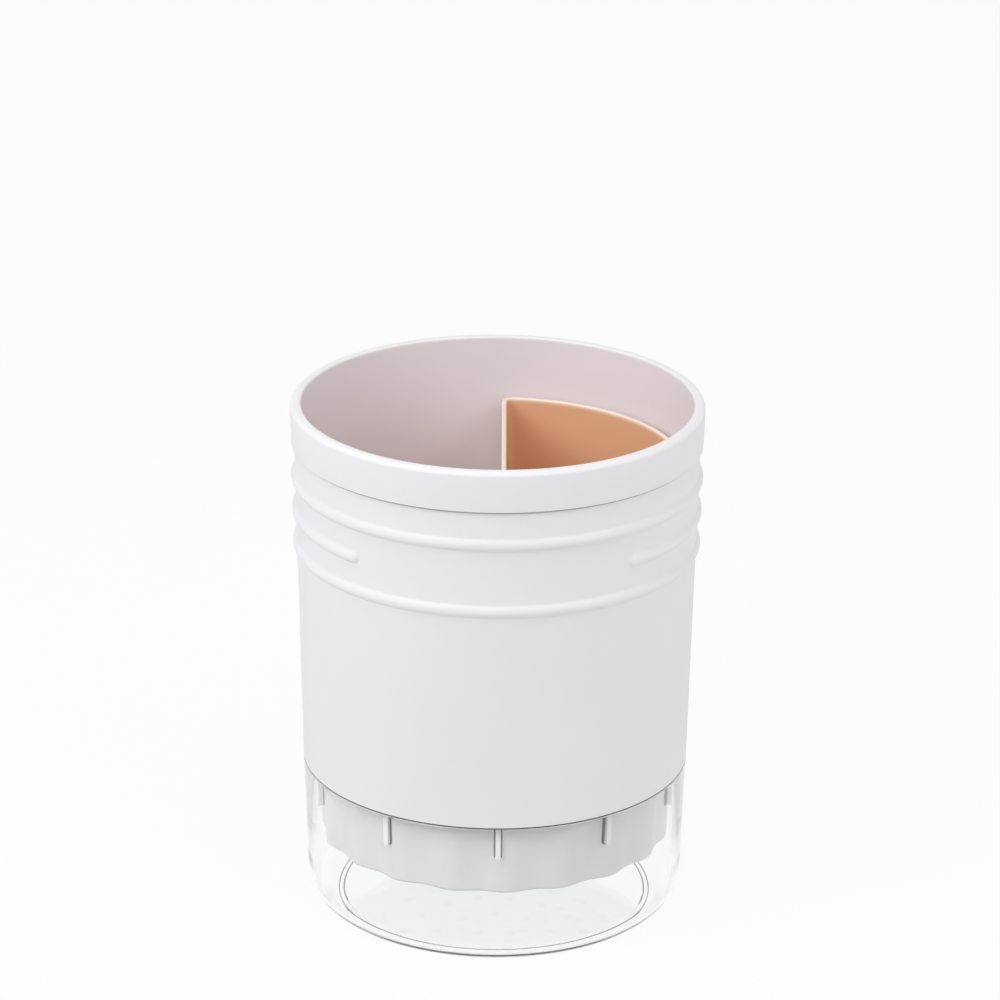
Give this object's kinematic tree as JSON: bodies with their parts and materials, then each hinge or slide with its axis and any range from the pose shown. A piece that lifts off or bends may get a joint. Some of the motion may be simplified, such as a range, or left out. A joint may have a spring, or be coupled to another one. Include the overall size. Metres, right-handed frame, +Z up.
{
  "type": "utensil holder",
  "caption": "Round kitchen utensil holder: a white barrel with raised beads stands on a clear drip tray, with a lift-out half-round divider cup inside.",
  "frame": {"origin": "centre of the tray's underside, on the surface the holder stands on", "axes": "+Z up along the barrel's axis, -Y to the front where the middle bead is open, +X to the side of the divider cup"},
  "size_m": [0.1198, 0.1198, 0.1552],
  "materials": {
    "clear_plastic": "clear and polished",
    "white_plastic": "satin, slightly cool white",
    "terracotta_plastic": "satin terracotta"
  },
  "bodies": {
    "tray": {"water_tray": "clear_plastic"},
    "barrel": {"holder_body": "white_plastic"},
    "divider": {"divider_cup": "terracotta_plastic"}
  },
  "joints": [
    {"name": "barrel_lift", "type": "slide", "parent": "tray", "child": "barrel", "axis": [0, 0, 1], "range_m": [0, 0.045]},
    {"name": "divider_lift", "type": "slide", "parent": "barrel", "child": "divider", "axis": [0, 0, 1], "range_m": [0, 0.115]}
  ]
}
